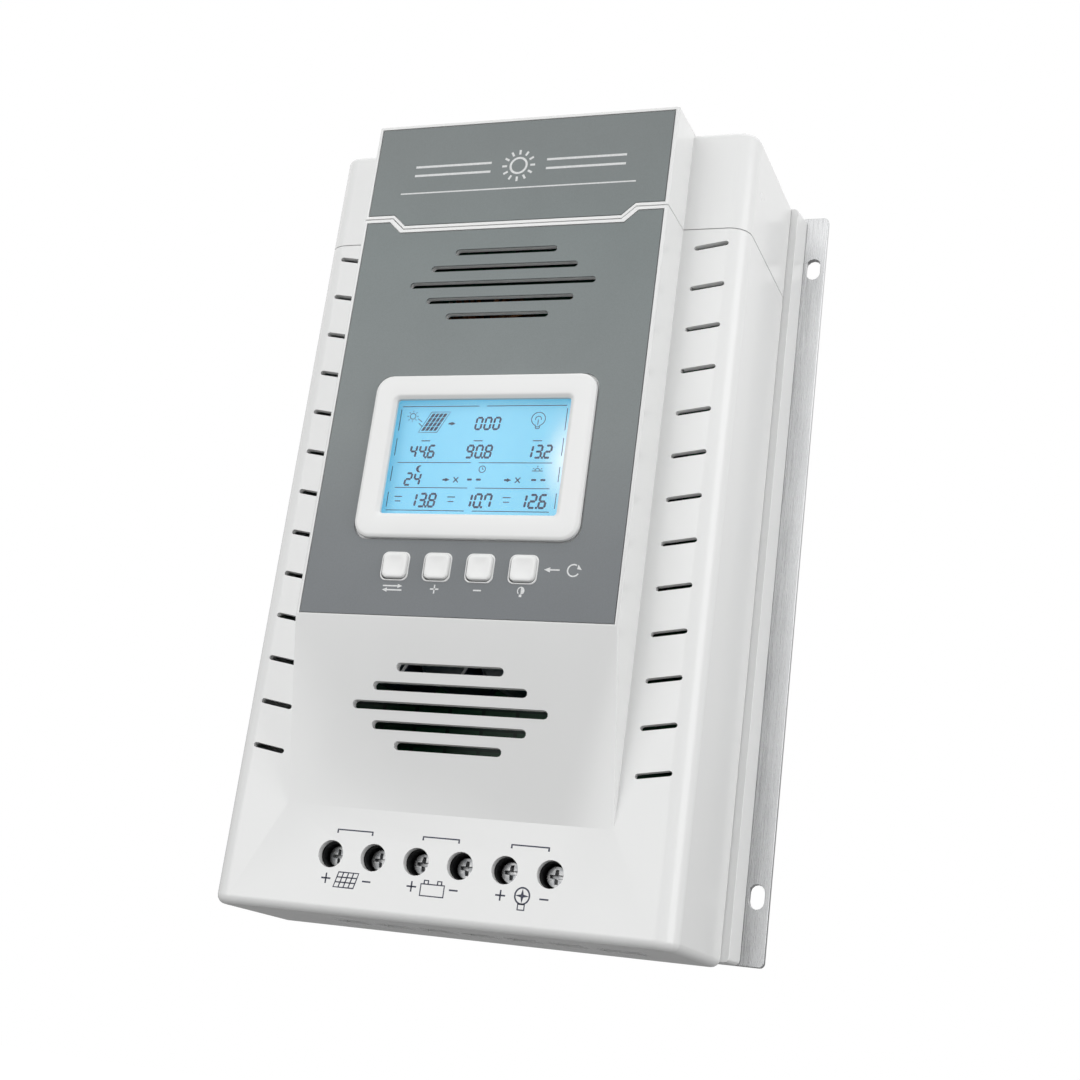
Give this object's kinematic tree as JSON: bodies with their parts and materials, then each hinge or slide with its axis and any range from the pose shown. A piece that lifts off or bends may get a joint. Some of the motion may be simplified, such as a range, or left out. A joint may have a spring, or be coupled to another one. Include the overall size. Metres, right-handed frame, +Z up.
{
  "type": "solar charge controller",
  "caption": "Wall-mounted solar charge controller: white case with a raised sloping front, lit display, push buttons, recessed screw terminals and a slotted aluminium back plate.",
  "frame": {"origin": "on the wall plane, half way across the back plate, 119 mm below the case's top end", "axes": "X across the front (left to right as seen from the front), +Z up, front faces -Y, +Y points into the wall"},
  "size_m": [0.162, 0.0737, 0.2418],
  "materials": {
    "white_abs": "glossy white ABS moulding",
    "grey_overlay": "printed grey polycarbonate overlay, satin",
    "aluminium_sheet": "brushed sheet with punched slots",
    "aluminium_extrusion": "extruded, plain",
    "clear_window": "clear window pane",
    "lcd_glass": "lit segment display, light blue with dark segments",
    "light_guide": "backlight diffuser",
    "circuit_board": "green solder resist on glass fibre",
    "zinc_steel": "zinc plated",
    "black_moulding": "black moulded plastic",
    "brass": "turned hexagon bar",
    "copper_winding": "enamelled copper wire on a ring core",
    "capacitor_sleeve": "shrunk sleeve with a bare aluminium end",
    "fuse_body": "tinted fuse body with plain blades",
    "ribbon_grey": "flat cable insulation"
  },
  "bodies": {
    "housing": {"back_plate": "aluminium_sheet", "rear_case": "white_abs", "front_cover": "white_abs", "top_cap": "white_abs", "header_label": "grey_overlay", "face_label": "grey_overlay", "lcd_bezel": "white_abs", "lcd_window": "clear_window", "lcd_panel": "lcd_glass", "lcd_backlight": "light_guide", "display_board": "circuit_board", "display_screw_1": "zinc_steel", "display_screw_2": "zinc_steel", "display_screw_3": "zinc_steel", "display_screw_4": "zinc_steel", "switch_1": "black_moulding", "switch_2": "black_moulding", "switch_3": "black_moulding", "switch_4": "black_moulding", "terminal_block": "black_moulding", "main_board": "circuit_board", "board_standoff_1": "brass", "board_standoff_2": "brass", "board_standoff_3": "brass", "board_standoff_4": "brass", "heat_sink": "aluminium_extrusion", "inductor_1": "copper_winding", "inductor_2": "copper_winding", "capacitor_1": "capacitor_sleeve", "capacitor_2": "capacitor_sleeve", "capacitor_3": "capacitor_sleeve", "capacitor_4": "capacitor_sleeve", "fuse_1": "fuse_body", "fuse_2": "fuse_body", "transistor_bank_left": "black_moulding", "transistor_bank_right": "black_moulding", "data_socket": "black_moulding", "ribbon_cable": "ribbon_grey", "cover_screw_1": "zinc_steel", "cover_screw_2": "zinc_steel", "cover_screw_3": "zinc_steel", "cover_screw_4": "zinc_steel"},
    "button_1": {"button_1": "white_abs"},
    "button_2": {"button_2": "white_abs"},
    "button_3": {"button_3": "white_abs"},
    "button_4": {"button_4": "white_abs"},
    "terminal_screw_1": {"terminal_screw_1": "zinc_steel"},
    "clamp_1": {"clamp_1": "zinc_steel"},
    "terminal_screw_2": {"terminal_screw_2": "zinc_steel"},
    "clamp_2": {"clamp_2": "zinc_steel"},
    "terminal_screw_3": {"terminal_screw_3": "zinc_steel"},
    "clamp_3": {"clamp_3": "zinc_steel"},
    "terminal_screw_4": {"terminal_screw_4": "zinc_steel"},
    "clamp_4": {"clamp_4": "zinc_steel"},
    "terminal_screw_5": {"terminal_screw_5": "zinc_steel"},
    "clamp_5": {"clamp_5": "zinc_steel"},
    "terminal_screw_6": {"terminal_screw_6": "zinc_steel"},
    "clamp_6": {"clamp_6": "zinc_steel"}
  },
  "joints": [
    {"name": "button_1_press", "type": "slide", "parent": "housing", "child": "button_1", "axis": [0, 1, 0], "range_m": [0, 0.001], "stiffness_N_per_m": 1500},
    {"name": "button_2_press", "type": "slide", "parent": "housing", "child": "button_2", "axis": [0, 1, 0], "range_m": [0, 0.001], "stiffness_N_per_m": 1500},
    {"name": "button_3_press", "type": "slide", "parent": "housing", "child": "button_3", "axis": [0, 1, 0], "range_m": [0, 0.001], "stiffness_N_per_m": 1500},
    {"name": "button_4_press", "type": "slide", "parent": "housing", "child": "button_4", "axis": [0, 1, 0], "range_m": [0, 0.001], "stiffness_N_per_m": 1500},
    {"name": "terminal_screw_1_turn", "type": "hinge", "parent": "housing", "child": "terminal_screw_1", "pos_m": [-0.033, -0.045, -0.1062], "axis": [0, 1, 0], "range_deg": [0, 1800]},
    {"name": "clamp_1_travel", "type": "slide", "parent": "housing", "child": "clamp_1", "axis": [0, -1, 0], "range_m": [0, 0.0035]},
    {"name": "terminal_screw_2_turn", "type": "hinge", "parent": "housing", "child": "terminal_screw_2", "pos_m": [-0.0198, -0.045, -0.1062], "axis": [0, 1, 0], "range_deg": [0, 1800]},
    {"name": "clamp_2_travel", "type": "slide", "parent": "housing", "child": "clamp_2", "axis": [0, -1, 0], "range_m": [0, 0.0035]},
    {"name": "terminal_screw_3_turn", "type": "hinge", "parent": "housing", "child": "terminal_screw_3", "pos_m": [-0.0066, -0.045, -0.1062], "axis": [0, 1, 0], "range_deg": [0, 1800]},
    {"name": "clamp_3_travel", "type": "slide", "parent": "housing", "child": "clamp_3", "axis": [0, -1, 0], "range_m": [0, 0.0035]},
    {"name": "terminal_screw_4_turn", "type": "hinge", "parent": "housing", "child": "terminal_screw_4", "pos_m": [0.0066, -0.045, -0.1062], "axis": [0, 1, 0], "range_deg": [0, 1800]},
    {"name": "clamp_4_travel", "type": "slide", "parent": "housing", "child": "clamp_4", "axis": [0, -1, 0], "range_m": [0, 0.0035]},
    {"name": "terminal_screw_5_turn", "type": "hinge", "parent": "housing", "child": "terminal_screw_5", "pos_m": [0.0198, -0.045, -0.1062], "axis": [0, 1, 0], "range_deg": [0, 1800]},
    {"name": "clamp_5_travel", "type": "slide", "parent": "housing", "child": "clamp_5", "axis": [0, -1, 0], "range_m": [0, 0.0035]},
    {"name": "terminal_screw_6_turn", "type": "hinge", "parent": "housing", "child": "terminal_screw_6", "pos_m": [0.033, -0.045, -0.1062], "axis": [0, 1, 0], "range_deg": [0, 1800]},
    {"name": "clamp_6_travel", "type": "slide", "parent": "housing", "child": "clamp_6", "axis": [0, -1, 0], "range_m": [0, 0.0035]}
  ],
  "couplings": [
    {"joint": "terminal_screw_1_turn", "follows": "clamp_1_travel", "rad_per_m": 8975},
    {"joint": "terminal_screw_2_turn", "follows": "clamp_2_travel", "rad_per_m": 8975},
    {"joint": "terminal_screw_3_turn", "follows": "clamp_3_travel", "rad_per_m": 8975},
    {"joint": "terminal_screw_4_turn", "follows": "clamp_4_travel", "rad_per_m": 8975},
    {"joint": "terminal_screw_5_turn", "follows": "clamp_5_travel", "rad_per_m": 8975},
    {"joint": "terminal_screw_6_turn", "follows": "clamp_6_travel", "rad_per_m": 8975}
  ]
}
